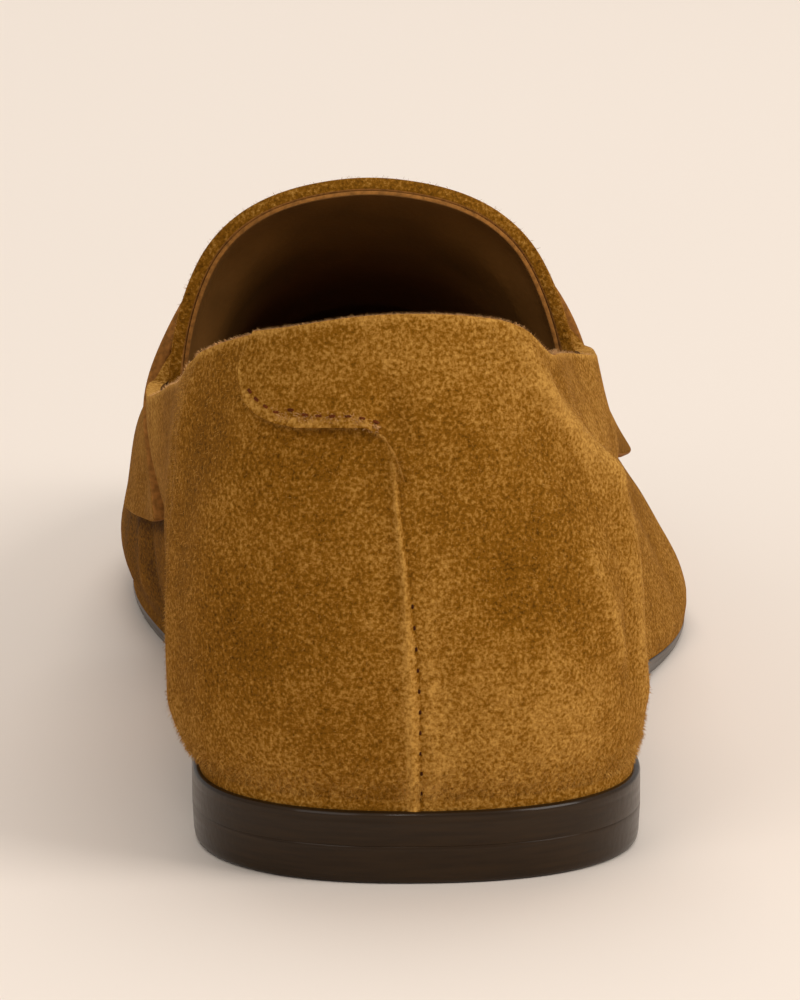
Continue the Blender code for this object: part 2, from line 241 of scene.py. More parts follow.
# The back seam leans towards the medial side as it rises from the sole to the tab. Beside
# its needle line stands a bead, which broadens towards the sole, and a low far side.
Seam = namedtuple("Seam", "z way")
SEAM = [
    Seam(8, 0.6),
    Seam(17.5, -0.05),
    Seam(26, -0.45),
    Seam(36, -1.2),
    Seam(46, -2.1),
    Seam(53, -2.8),
    Seam(59, -3.0),
]
SEAM_TOP, SEAM_FADE, SEAM_NARROW, SEAM_BROAD = 60.0, 3.0, 46.0, 28.0
BEAD_OFF, BEAD_OFF_LOW, BEAD_WIDTH, BEAD_WIDTH_LOW = 0.6, 0.5, 0.5, 0.45
NEEDLE_WIDTH, FAR_OFF, FAR_WIDTH = 0.22, 1.5, 1.1
BEAD_HEIGHT, NEEDLE_DEPTH, FAR_HEIGHT = 0.55, 0.2, 0.15
# Painted highlight on the bead and the far side, painted shade in the needle line
BEAD_PAINTED_LIGHT, NEEDLE_PAINTED_SHADE, FAR_PAINTED_LIGHT = 0.8, 0.55, 0.35

# Lower edge of the back tab, with its free end first: the way round from the centre back
# and the height. The line of its stitches is given in the same way.
TAB_FREE_EDGE = [
    (-26.6, 69.6), (-26.0, 66.8), (-24.6, 64.7), (-22.4, 63.1),
    (-19.3, 62.2), (-16.0, 61.9), (-11.4, 62.2), (-7.1, 62.3),
    (-4.7, 61.2), (-3.3, 58.8), (-2.2, 55.5),
]
TAB_EDGE = TAB_FREE_EDGE + [(0.0, 54.0), (16.0, 54.0)]
TAB_CORNER = -25.0
TAB_STITCHES = [
    (-24.6, 67.0), (-24.0, 66.2), (-22.2, 64.8), (-19.5, 63.7),
    (-13.9, 63.7), (-8.3, 63.8), (-5.6, 62.8),
]
TAB_FRAYED = TAB_STITCHES[3:]
TAB_SHADE, TAB_SHADE_REACH, TAB_SHADE_OVER = 0.7, 0.6, 0.4
TAB_SHADE_START, TAB_SHADE_FULL = -3.0, -6.0


def linear(hex_code):
    """A colour given as sRGB hex, as linear red, green and blue."""
    parts = [int(hex_code[i : i + 2], 16) / 255 for i in (1, 3, 5)]
    return tuple(p / 12.92 if p <= 0.04045 else ((p + 0.055) / 1.055) ** 2.4 for p in parts)


class LoaferSizes(bpy.types.PropertyGroup):
    """Sizes that a maker would change."""

    upper_wall: FloatProperty(
        name="Upper wall", description="Thickness of suede and lining", default=0.002, unit="LENGTH"
    )
    tongue_suede: FloatProperty(
        name="Tongue suede",
        description="Thickness of the tongue's suede",
        default=0.0021,
        unit="LENGTH",
    )
    tongue_lining: FloatProperty(
        name="Tongue lining",
        description="Thickness of the tongue's lining",
        default=0.0007,
        unit="LENGTH",
    )
    strap: FloatProperty(
        name="Strap", description="Thickness of the saddle strap", default=0.002, unit="LENGTH"
    )
    tab: FloatProperty(
        name="Back tab",
        description="How far the back tab stands proud",
        default=0.0014,
        unit="LENGTH",
    )
    edge_round: FloatProperty(
        name="Edge round", description="Rounding of cut suede edges", default=0.0005, unit="LENGTH"
    )
    fold_depth: FloatProperty(
        name="Fold depth",
        description="Strength of the soft folds",
        default=1.0,
        min=0,
        max=2,
        subtype="FACTOR",
    )
    fibre: FloatProperty(
        name="Nap fibre",
        description="Length of loose fibres on the nap",
        default=0.0007,
        unit="LENGTH",
    )


class LoaferColours(bpy.types.PropertyGroup):
    """Colours that a maker would change."""

    suede: FloatVectorProperty(
        name="Suede",
        description="Middle tone of the nap",
        default=linear("#80520F"),
        subtype="COLOR",
    )
    # The dark and light ends of the nap also give the colour of the painted shade and painted light
    suede_dark: FloatVectorProperty(
        name="Suede dark",
        description="Nap brushed down",
        default=linear("#3F2502"),
        subtype="COLOR",
    )
    suede_light: FloatVectorProperty(
        name="Suede light", description="Nap brushed up", default=linear("#C08F45"), subtype="COLOR"
    )
    lining: FloatVectorProperty(
        name="Lining",
        description="Smooth lining leather",
        default=linear("#70491A"),
        subtype="COLOR",
    )
    raw_edge: FloatVectorProperty(
        name="Raw edge",
        description="Cut edge of the lining",
        default=linear("#9C6830"),
        subtype="COLOR",
    )
    frayed: FloatVectorProperty(
        name="Frayed edge",
        description="Loose fibres of a cut edge",
        default=linear("#D6A56C"),
        subtype="COLOR",
    )
    sole: FloatVectorProperty(
        name="Sole edge",
        description="Stained and polished edge",
        default=linear("#291B0B"),
        subtype="COLOR",
    )
    thread: FloatVectorProperty(
        name="Thread", description="Sewing thread", default=linear("#66300A"), subtype="COLOR"
    )


# Shape of the last


def smooth_column(rows, column, against="y"):
    """A natural cubic spline through one column of a table, against another."""
    ys = np.array([getattr(row, against) for row in rows], float)
    values = np.array([getattr(row, column) for row in rows], float)
    steps = np.diff(ys)
    count = len(ys)
    matrix = np.eye(count)
    right = np.zeros(count)
    slopes = np.diff(values) / steps
    for i in range(1, count - 1):
        matrix[i, i - 1 : i + 2] = steps[i - 1], 2 * (steps[i - 1] + steps[i]), steps[i]
        right[i] = 6 * (slopes[i] - slopes[i - 1])
    bends = np.linalg.solve(matrix, right)

    def value(y):
        y = np.clip(y, ys[0], ys[-1])
        i = np.clip(np.searchsorted(ys, y) - 1, 0, count - 2)
        a, b, h = ys[i + 1] - y, y - ys[i], steps[i]
        bent = (bends[i] * a**3 + bends[i + 1] * b**3) / (6 * h)
        left = (values[i] / h - bends[i] * h / 6) * a
        return bent + left + (values[i + 1] / h - bends[i + 1] * h / 6) * b

    return value


def by_side(rows, stem=""):
    """The medial or the lateral column of a table, picked point by point."""
    medial = smooth_column(rows, stem + "medial")
    lateral = smooth_column(rows, stem + "lateral")
    return lambda side, y: np.where(side < 0, medial(y), lateral(y))


half_width = by_side(OUTLINE)
wall_out = by_side(SECTIONS, "out_")
wall_crown = by_side(SECTIONS, "crown_")
top_line = by_side(TOP_LINE)
wall_rise = smooth_column(SECTIONS, "rise")
crest_x = smooth_column(SECTIONS, "crest_x")
crest_z = smooth_column(SECTIONS, "crest_z")
sole_under = smooth_column(PROFILE, "under")
sole_top = smooth_column(PROFILE, "top")
feather = smooth_column(PROFILE, "feather")
strap_back = smooth_column(STRAP_EDGES, "back", "down")
strap_front = smooth_column(STRAP_EDGES, "front", "down")
seam_line = smooth_column(SEAM, "way", "z")


def smooth_step(low, high, value):
    """From 0 at the first value to 1 at the second, with soft ends."""
    share = np.clip((value - low) / (high - low), 0, 1)
    return share * share * (3 - 2 * share)


def bell(off, width):
    """1 in the middle, falling softly to 0 over a width."""
    return np.exp(-((off / width) ** 2))


def unit(vectors):
    """Vectors made one long."""
    return vectors / np.linalg.norm(vectors, axis=-1)[..., None]


def side_of(way):
    """The side of the shoe that a signed distance lies on."""
    return np.where(way < 0, MEDIAL, LATERAL)


def alike(*values):
    """Values as arrays of one shape."""
    return np.broadcast_arrays(*(np.asarray(value, float) for value in values))


def end_round(y):
    """How far the outline is drawn in at the round heel and toe, from 1 to 0."""
    heel = np.clip((HEEL_CENTRE - y) / (HEEL_CENTRE - HEEL_BACK), 0, 1)
    toe = np.clip((y - TOE_ROUND_START) / (TOE_TIP - TOE_ROUND_START), 0, 1)
    heel_share = (1 - heel**HEEL_SQUARENESS) ** (1 / HEEL_SQUARENESS)
    return heel_share * (1 - toe**TOE_SQUARENESS) ** (1 / TOE_SQUARENESS)


def edge_x(side, y):
    """The x of the sole's edge."""
    return side * half_width(side, y) * end_round(y)


def last_point(side, y, t):
    """Points of the last's skin: t runs from the sole's edge, 0, to the crest, 1."""
    side, y, t = alike(side, y, t)
    crest_y = np.clip(y, HEEL_CENTRE, TOE_CREST)
    crest = np.stack([crest_x(crest_y), crest_y, crest_z(crest_y)], -1)
    edge = np.stack([edge_x(side, y), y, sole_top(y) + SEAT_GAP], -1)
    inward = crest - edge
    inward[..., 2] = 0
    reach = np.linalg.norm(inward, axis=-1)
    inward = inward / reach[..., None]
    start = edge + inward * feather(y)[..., None] + UP * FEATHER_RISE
    low = edge - inward * wall_out(side, y)[..., None] + UP * wall_rise(y)[..., None]
    high = edge + inward * (wall_crown(side, y) * reach)[..., None]
    fall = crest_z(TOE_CREST) - crest_z(TOE_CREST - 1)
    high[..., 2] = crest[..., 2] + np.where(y > TOE_CREST, fall * (high[..., 1] - TOE_CREST), 0)
    t = t[..., None]
    s = 1 - t
    return s**3 * start + 3 * s * s * t * low + 3 * s * t * t * high + t**3 * crest


def share_at(side, y, height):
    """The t at which sections reach a height."""
    side, y, height = np.broadcast_arrays(side, y, height)
    low, high = np.zeros(y.shape), np.ones(y.shape)
    for _ in range(HALVINGS):
        middle = (low + high) / 2
        under = last_point(side, y, middle)[..., 2] < height
        low, high = np.where(under, middle, low), np.where(under, high, middle)
    return low


def top_share(side, y):
    """Where sections meet the top line: t, or 1 where the vamp closes over."""
    end_y = np.full_like(y, QUARTER_END)
    end = share_at(side, end_y, top_line(side, end_y))
    behind = share_at(side, y, top_line(side, y))
    under_strap = end + (1 - end) * (y - QUARTER_END) / (THROAT - QUARTER_END)
    return np.where(y <= QUARTER_END, behind, np.clip(under_strap, 0, 1))


def stretches(ends, counts):
    """Places at an even gap in each stretch between two ends, without the last end."""
    return np.concatenate(
        [np.linspace(a, b, n, endpoint=False) for a, b, n in zip(ends, ends[1:], counts)]
    )


def stations():
    """Places along the shoe, closest together at the back seam."""
    heel_turn = math.pi / 2 * stretches(HEEL_SHARES, HEEL_STEPS)
    heel_share = np.cos(heel_turn) ** (2 / HEEL_SQUARENESS)
    toe_share = np.sin(math.pi / 2 * np.linspace(0, 1, TOE_STEPS)) ** (2 / TOE_SQUARENESS)
    return np.concatenate(
        [
            HEEL_CENTRE - (HEEL_CENTRE - HEEL_BACK) * heel_share,
            stretches((HEEL_CENTRE, QUARTER_END, THROAT, TOE_ROUND_START), SIDE_STEPS),
            TOE_ROUND_START + (TOE_TIP - TOE_ROUND_START) * toe_share,
        ]
    )


STATIONS = stations()


def way_round(side):
    """Distance along the sole's edge from the centre back to each station."""
    xs = edge_x(np.full_like(STATIONS, side), STATIONS)
    steps = np.hypot(np.diff(xs), np.diff(STATIONS))
    return np.concatenate([[0], np.cumsum(steps)])


WAY = {side: way_round(side) for side in (MEDIAL, LATERAL)}


def along_shoe(way):
    """The y of a place given as the way round from the centre back."""
    medial = np.interp(-way, WAY[MEDIAL], STATIONS)
    return np.where(way < 0, medial, np.interp(way, WAY[LATERAL], STATIONS))


def collar_height(way):
    """Height of the top line at the way round from the centre back."""
    return top_line(side_of(way), along_shoe(way))


def gape(y):
    """How far the quarters stand open along the shoe, from 0 to 1."""
    return smooth_step(GAPE_START, GAPE_FULL, y) * smooth_step(GAPE_END, GAPE_HELD, y)


def gape_at(way, z):
    """How far the quarters stand open at a place on the skin, in millimetres."""
    open_by = np.where(way < 0, GAPE[MEDIAL], GAPE[LATERAL])
    return open_by * gape(along_shoe(way)) * smooth_step(GAPE_FOOT, GAPE_TOP, z)


def on_line(row, way, z):
    """1 on a line across the skin, falling softly to 0 over its width."""
    along = np.array([row.way_2 - row.way_1, row.z_2 - row.z_1])
    share = ((way - row.way_1) * along[0] + (z - row.z_1) * along[1]) / (along @ along)
    share = np.clip(share, 0, 1)
    off = np.hypot(way - row.way_1 - share * along[0], z - row.z_1 - share * along[1])
    return bell(off, row.width)


def in_patch(row, way, z):
    """1 in the middle of a patch of the skin, falling softly to 0 over its reach."""
    return np.exp(-(((way - row.way) / row.reach_way) ** 2 + ((z - row.z) / row.reach_z) ** 2))


def seam_parts(way, z):
    """The back seam's bead, its needle line and its far side, each from 0 to 1."""
    off = way - seam_line(z)
    low = smooth_step(SEAM_NARROW, SEAM_BROAD, z)
    shown = smooth_step(SEAM_TOP, SEAM_TOP - SEAM_FADE, z)
    bead = bell(off + BEAD_OFF + BEAD_OFF_LOW * low, BEAD_WIDTH + BEAD_WIDTH_LOW * low)
    far = low * bell(off - FAR_OFF, FAR_WIDTH)
    return bead * shown, bell(off, NEEDLE_WIDTH) * shown, far * shown


def relief(way, z):
    """Height of the folds and of the back seam over the last, in millimetres."""
    over_sole = z - sole_top(along_shoe(way))
    round_wave = SLACK_HEIGHT * np.sin(way / SLACK_WAY + SLACK_WAY_START)
    height = round_wave * np.sin(z / SLACK_Z + SLACK_Z_START)
    height = height + DRIFT_HEIGHT * np.sin(way / DRIFT_WAY - z / DRIFT_Z)
    height = height * smooth_step(SLACK_END, SLACK_HELD, np.abs(way))
    for fold in FOLDS:
        height = height + fold.depth * on_line(fold, way, z)
    strength = bpy.context.scene.loafer_sizes.fold_depth
    height = height * strength * smooth_step(FOLD_FOOT, FOLD_FULL, over_sole)
    over_rim = smooth_step(0, SWELL_FULL, over_sole)
    for swell in SWELLS:
        height = height + swell.height * in_patch(swell, way, z) * over_rim
    height = height + gape_at(way, z)
    bead, line, far = seam_parts(way, z)
    return height + BEAD_HEIGHT * bead - NEEDLE_DEPTH * line + FAR_HEIGHT * far


def nap_tone(way, z):
    """How much lighter, above 0, or darker, below it, the nap is drawn: its own tone and painted
    light and shade.
    """
    tone = np.zeros(np.broadcast(way, z).shape)
    for nap_and_light in NAP_AND_PAINTED_LIGHT:
        tone = tone + nap_and_light.tone * in_patch(nap_and_light, way, z)
    for streak in PAINTED_STREAKS:
        tone = tone + streak.tone * on_line(streak, way, z)
    # Painted light on the fold crests, painted shade in the troughs
    tone = tone + CREST_PAINTED_LIGHT * np.clip(relief(way, z), -1, 1)
    bead, line, far = seam_parts(way, z)
    # Painted highlight on the seam's bead and far side, painted shade in its needle line
    tone = tone + BEAD_PAINTED_LIGHT * bead - NEEDLE_PAINTED_SHADE * line + FAR_PAINTED_LIGHT * far
    under_tab = np.interp(way, *np.transpose(TAB_FREE_EDGE)) - z
    shade = bell(under_tab, TAB_SHADE_REACH) * (way > TAB_FREE_EDGE[0][0])
    shade = shade * smooth_step(TAB_SHADE_START, TAB_SHADE_FULL, way)
    tone = tone - TAB_SHADE * shade * (under_tab > -TAB_SHADE_OVER)
    at_collar = bell(collar_height(way) - z, COLLAR_REACH) * (along_shoe(way) < QUARTER_END)
    return np.clip(tone + COLLAR_TONE * at_collar, TONE_DARKEST, TONE_LIGHTEST)


def skin_at(way, z, lift=0.0):
    """Points on the folded quarters from the way round the heel and the height."""
    way, z, lift = alike(way, z, lift)

    def bare(w, height):
        side, y = side_of(w), along_shoe(w)
        return last_point(side, y, share_at(side, y, height))

    across_skin = bare(way + SKIN_STEP, z) - bare(way - SKIN_STEP, z)
    up_skin = bare(way, z + SKIN_STEP) - bare(way, z - SKIN_STEP)
    normal = unit(np.cross(across_skin, up_skin))
    points = bare(way, z) + normal * (lift + relief(way, z))[..., None]
    points[..., 2] -= GAPE_SETTLE * gape_at(way, z)
    return points, normal


# Meshes

CUT_ANGLE, CUT_SEGMENTS = math.radians(55), 3
SHARP_ANGLE = math.radians(60)


def mesh_object(name, points, faces, materials, slots=None):
    """A smooth mesh from points in millimetres, riding on the shoe."""
    mesh = bpy.data.meshes.new(name)
    mesh.from_pydata((np.asarray(points) * MM).tolist(), [], faces)
    for material in materials:
        mesh.materials.append(material)
    if slots is not None:
        mesh.polygons.foreach_set("material_index", np.asarray(slots, np.int32))
    mesh.validate()
    mesh.shade_smooth()
    made = bpy.data.objects.new(name, mesh)
    bpy.context.scene.collection.objects.link(made)
    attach(made, "root")
    return made


def grid_faces(columns, rows):
    """Four-sided faces between the neighbours of a grid of points."""
    faces = []
    for c in range(columns - 1):
        for r in range(rows - 1):
            a, b = c * rows + r, (c + 1) * rows + r
            faces.append((a, b, b + 1, a + 1))
    return faces


def face_up_sheet(name, grid, materials):
    """A sheet from a grid of points, with its right side up."""
    faces = [face[::-1] for face in grid_faces(*grid.shape[:2])]
    piece = mesh_object(name, grid.reshape(-1, 3), faces, materials)
    if piece.data.polygons[len(piece.data.polygons) // 2].normal.z < 0:
        piece.data.flip_normals()
    return piece


def set_tone(piece, values):
    """Keeps the nap's tone, its own and its painted light and shade, with the points of a piece."""
    tone = piece.data.attributes.new("nap_tone", "FLOAT", "POINT")
    tone.data.foreach_set("value", np.asarray(values, np.float32))


def thicken(piece, thickness, inner_slot, rim_slot, round_edge):
    """Gives a sheet its thickness inwards and softens its cut edges."""
    wall = piece.modifiers.new("Wall", "SOLIDIFY")
    wall.thickness = thickness
    wall.offset = -1
    wall.material_offset = inner_slot
    wall.material_offset_rim = rim_slot
    soft = piece.modifiers.new("Cut edge", "BEVEL")
    soft.width = round_edge
    soft.segments = CUT_SEGMENTS
    soft.limit_method = "ANGLE"
    soft.angle_limit = CUT_ANGLE
    soft.harden_normals = False


def spaced(path, gap):
    """Points at an even gap along a path of points."""
    path = np.asarray(path, float)
    steps = np.linalg.norm(np.diff(path, axis=0), axis=-1)
    ends = np.concatenate([[0], np.cumsum(steps)])
    places = np.arange(gap / 2, ends[-1], gap)
    return np.stack([np.interp(places, ends, column) for column in path.T], -1)


# Materials

ADD, MULTIPLY_ADD = {"operation": "ADD"}, {"operation": "MULTIPLY_ADD"}
FLOOR_DRIFT = 1.2
# The back seam's needle holes hold the tab's thread at 0.4 of its colour: painted shade in the
# holes
HOLE_PAINTED_SHADE = 0.4


def add_node(tree, kind, settings=None, values=(), stops=(), take=0, **inputs):
    """Adds a node with its settings and colour stops, and gives back one of its outputs.

    Each input, in order or by its name, gets a value or a link.
    """
    made = tree.nodes.new(kind)
    for key, value in (settings or {}).items():
        setattr(made, key, value)
    if stops:
        elements = made.color_ramp.elements
        while len(elements) < len(stops):
            elements.new(0.5)
        for element, (place, colour) in zip(elements, stops):
            element.position = place
            element.color = (*colour, 1)
    for key, value in (*enumerate(values), *inputs.items()):
        socket = made.inputs[key if isinstance(key, int) else key.replace("_", " ")]
        if isinstance(value, bpy.types.NodeSocket):
            tree.links.new(value, socket)
        else:
            socket.default_value = value
    return made.outputs[take] if made.outputs else None


def per_metre(size_mm):
    """A texture scale that repeats about every size in millimetres."""
    return 1000 / size_mm


def toned(colour, share):
    """A colour made darker or lighter."""
    return tuple(min(1, part * share) for part in colour)


def napped_suede(add, place, colours):
    """Calf suede, split and brushed: short matt fibres, light one way and dark the other, with
    painted light and shade.
    """
    tone = add("ShaderNodeAttribute", {"attribute_name": "nap_tone"}, take="Fac")
    # Tufts are about 0.15 mm; they are drawn at 0.5 mm so that they show.
    tufts, mottle, drift = (
        add("ShaderNodeTexNoise", Vector=place, Scale=scale, Detail=detail, Roughness=rough)
        for scale, detail, rough in (
            (per_metre(0.5), 3.0, 0.68),
            (per_metre(4), 3.0, 0.6),
            (per_metre(26), 2.0, 0.5),
        )
    )
    fine = add("ShaderNodeMath", MULTIPLY_ADD, (tufts, 1.58, -0.29))
    middle = add("ShaderNodeMath", MULTIPLY_ADD, (mottle, 0.34, -0.17))
    broad = add("ShaderNodeMath", MULTIPLY_ADD, (drift, 0.4, -0.2))
    # The nap_tone attribute brings the nap's own tone and painted light and shade
    brushed = add("ShaderNodeMath", MULTIPLY_ADD, (tone, 0.26, middle))
    spread = add("ShaderNodeMath", ADD, (brushed, broad))
    level = add("ShaderNodeMath", ADD, (spread, fine))
    stops = [(0.0, colours.suede_dark), (0.5, colours.suede), (1.0, colours.suede_light)]
    lumps = add("ShaderNodeMath", MULTIPLY_ADD, (mottle, 0.5, tufts))
    return dict(
        Base_Color=add("ShaderNodeValToRGB", stops=stops, Fac=level),
        Normal=add("ShaderNodeBump", Strength=0.6, Distance=0.0004, Height=lumps),
        Roughness=0.95,
        Specular_IOR_Level=0.06,
        Sheen_Weight=0.05,
        Sheen_Roughness=0.55,
        Sheen_Tint=(*colours.suede_light, 1),
    )


def loose_fibre(add, place, colours):
    """Loose collagen fibres of the nap: paler than the suede where they catch the light."""
    # Single fibres are far finer; their tone drifts over 1.5 mm so that it shows.
    shade = add("ShaderNodeTexNoise", Vector=place, Scale=per_metre(1.5), Detail=2.0)
    stops = [(0.35, colours.suede), (0.65, colours.suede_light)]
    colour = add("ShaderNodeValToRGB", stops=stops, Fac=shade)
    return dict(Base_Color=colour, Roughness=0.9, Specular_IOR_Level=0.1)


def smooth_leather(add, place, colour):
    """Drum-dyed leather with a finished face: an even colour, fine grain and a low sheen."""
    # The grain is about 0.3 mm; it is drawn at 0.9 mm so that it shows.
    grain = add("ShaderNodeTexVoronoi", Vector=place, Scale=per_metre(0.9), Randomness=1.0)
    cloud = add("ShaderNodeTexNoise", Vector=place, Scale=per_metre(14), Detail=4.0)
    stops = [(0.3, toned(colour, 0.72)), (0.7, toned(colour, 1.22))]
    return dict(
        Base_Color=add("ShaderNodeValToRGB", stops=stops, Fac=cloud),
        Roughness=add("ShaderNodeMapRange", Value=cloud, To_Min=0.42, To_Max=0.6),
        Normal=add("ShaderNodeBump", Strength=0.2, Distance=0.0002, Height=grain),
    )


def raw_leather(add, place, colour):
    """The cut edge of vegetable-tanned leather: pale, matt and fibrous."""
    # Bundles of fibre are about 0.1 mm; they are drawn at 0.8 mm so that they show.
    fibre = add("ShaderNodeTexNoise", Vector=place, Scale=per_metre(0.8), Detail=3.0)
    stops = [(0.3, toned(colour, 0.55)), (0.65, colour)]
    return dict(
        Base_Color=add("ShaderNodeValToRGB", stops=stops, Fac=fibre),
        Normal=add("ShaderNodeBump", Strength=0.5, Distance=0.0003, Height=fibre),
        Roughness=0.9,
        Specular_IOR_Level=0.1,
    )


def burnished_edge(add, place, colour):
    """A leather sole edge, inked, waxed and ironed: nearly black, faint layers, a wax shine."""
    # Layers run 9 mm along the edge and are 14 times finer, about 0.65 mm, through the sole.
    flat = add("ShaderNodeMapping", Vector=place, Scale=(1.0, 1.0, 14.0))
    layers = add("ShaderNodeTexNoise", Vector=flat, Scale=per_metre(9), Detail=4.0)
    # Pores are about 0.3 mm; they are drawn at 1.2 mm so that they show.
    pores = add("ShaderNodeTexNoise", Vector=place, Scale=per_metre(1.2), Detail=2.0)
    stops = [(0.3, toned(colour, 0.8)), (0.7, toned(colour, 1.25))]
    return dict(
        Base_Color=add("ShaderNodeValToRGB", stops=stops, Fac=layers),
        Roughness=add("ShaderNodeMapRange", Value=layers, To_Min=0.22, To_Max=0.42),
        Normal=add("ShaderNodeBump", Strength=0.12, Distance=0.0003, Height=pores),
        Specular_IOR_Level=0.1,
        Coat_Weight=0.22,
        Coat_Roughness=0.1,
    )


def waxed_thread(add, place, colour):
    """Bonded sewing thread: two plies that turn every 0.7 mm, slightly glossy."""
    ply = add("ShaderNodeTexNoise", Vector=place, Scale=per_metre(0.7), Detail=2.0)
    stops = [(0.35, toned(colour, 0.55)), (0.65, colour)]
    shade = add("ShaderNodeValToRGB", stops=stops, Fac=ply)
    return dict(Base_Color=shade, Roughness=0.75, Specular_IOR_Level=0.1)


def painted_studio(add, place, colour):
    """A matt painted floor, even but for a very faint drift of tone over most of a metre."""
    drift = add("ShaderNodeTexNoise", Vector=place, Scale=FLOOR_DRIFT, Detail=2.0)
    stops = [(0.3, toned(colour, 0.97)), (0.7, colour)]
    return dict(Base_Color=add("ShaderNodeValToRGB", stops=stops, Fac=drift), Roughness=0.85)


def make_material(name, finish, colour):
    """A material whose shader gets what a finish works out, drawn by the place on the piece."""
    material = bpy.data.materials.new(name)
    material.use_nodes = True
    material.node_tree.nodes.clear()
    add = partial(add_node, material.node_tree)
    place = add("ShaderNodeTexCoord", take="Object")
    shader = add("ShaderNodeBsdfPrincipled", **finish(add, place, colour))
    add("ShaderNodeOutputMaterial", Surface=shader)
    return material


def finishes():
    """The shoe's materials, made once."""
    colours = bpy.context.scene.loafer_colours
    rows = {
        "suede": ("suede_napped_calf", napped_suede, colours),
        "lining": ("leather_lining_smooth", smooth_leather, colours.lining),
        "raw": ("leather_raw_edge", raw_leather, colours.raw_edge),
        "fray": ("leather_frayed_fibre", raw_leather, colours.frayed),
        "edge": ("leather_sole_burnished", burnished_edge, colours.sole),
        "fibre": ("suede_loose_fibre", loose_fibre, colours),
        "thread": ("thread_bonded", waxed_thread, colours.thread),
        "hole": ("thread_bonded_sunk", waxed_thread, toned(colours.thread, HOLE_PAINTED_SHADE)),
    }
    return {key: bpy.data.materials.get(row[0]) or make_material(*row) for key, row in rows.items()}


# Pieces


class LOAFER_OT_upper(bpy.types.Operator):
    """Make the quarters and vamp in soft folded suede"""

    bl_idname = "loafer.upper"
    bl_label = "Upper"

    def execute(self, context):
        sizes, looks = context.scene.loafer_sizes, finishes()
        count = len(STATIONS)
        side = np.concatenate([np.full(count, LATERAL), np.full(count - 2, MEDIAL)])
        y = np.concatenate([STATIONS, STATIONS[-2:0:-1]])
        way = np.concatenate([WAY[LATERAL], -WAY[MEDIAL][-2:0:-1]])
        share = np.linspace(0, 1, WALL_ROWS) ** WALL_SPACING
        wall = last_point(side[:, None], y[:, None], top_share(side, y)[:, None] * share)
        foot = wall[:, :1] - UP * (FEATHER_RISE + SEAT_GAP)
        points = np.concatenate([foot, wall], axis=1)
        columns, rows = points.shape[:2]
        # The two sides share their points along the crest of the vamp and at the toe.
        names = np.arange(columns * rows).reshape(columns, rows)
        for c in range(count, columns):
            if y[c] >= THROAT - TINY:
                names[c, -1] = names[2 * count - 2 - c, -1]
        toe = np.flatnonzero(y >= TOE_CREST)
        names[toe, -1] = names[toe[0], -1]
        used = np.unique(names)
        faces = []
        for c in range(columns):
            d = (c + 1) % columns
            for r in range(rows - 1):
                corners = [names[c, r], names[d, r], names[d, r + 1], names[c, r + 1]]
                kept = [v for i, v in enumerate(corners) if v != corners[i - 1]]
                if len(set(kept)) == len(kept) >= 3:
                    faces.append(np.searchsorted(used, kept).tolist())
        flat = points.reshape(-1, 3)[used]
        ways, z = np.repeat(way, rows)[used], flat[:, 2]
        piece = mesh_object("upper_suede", flat, faces, [looks["suede"], looks["lining"]])
        normals = np.zeros(flat.size, np.float32)
        piece.data.vertex_normals.foreach_get("vector", normals)
        lifted = flat + normals.reshape(-1, 3) * relief(ways, z)[:, None]
        lifted[:, 2] -= GAPE_SETTLE * gape_at(ways, z)
        piece.data.vertices.foreach_set("co", (lifted * MM).astype(np.float32).ravel())
        piece.data.update()
        set_tone(piece, nap_tone(ways, z))
        thicken(piece, sizes.upper_wall, 1, 0, sizes.edge_round)
        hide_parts("upper")
        return {"FINISHED"}


def instep_band(downs, back, front, rows):
    """A grid across the instep, from its medial end over the crest to its lateral end.

    It comes with the y of its points and the directions out of the shoe.
    """
    down = np.abs(downs)[:, None]
    y = back(down) + (front(down) - back(down)) * np.linspace(0, 1, rows)[None, :]
    grid = last_point(side_of(downs)[:, None], y, 1 - down)
    normal = np.cross(np.gradient(grid, axis=0), np.gradient(grid, axis=1))
    normal = normal / np.maximum(np.linalg.norm(normal, axis=-1), TINY)[..., None]
    return grid, y, -normal if normal[len(downs) // 2, rows // 2, 2] < 0 else normal


def across(medial_end, lateral_end, count):
    """Shares of the way down from the crest, medial ones negative."""
    medial = -np.linspace(medial_end, 0, count, endpoint=False)
    return np.concatenate([medial, np.linspace(0, lateral_end, count + 1)])


# The tongue's grid, its sides that open with the quarters, its gaps and its tone
TONGUE_COLUMNS, TONGUE_ROWS = 40, 70
TONGUE_LIP_START, TONGUE_LIP_FULL, TONGUE_TUCK = 0.04, 0.32, 0.2
TONGUE_GAP, LINING_GAP, LINING_ROUND = 0.5, 0.03, 0.0002
TONGUE_TONE = -0.12


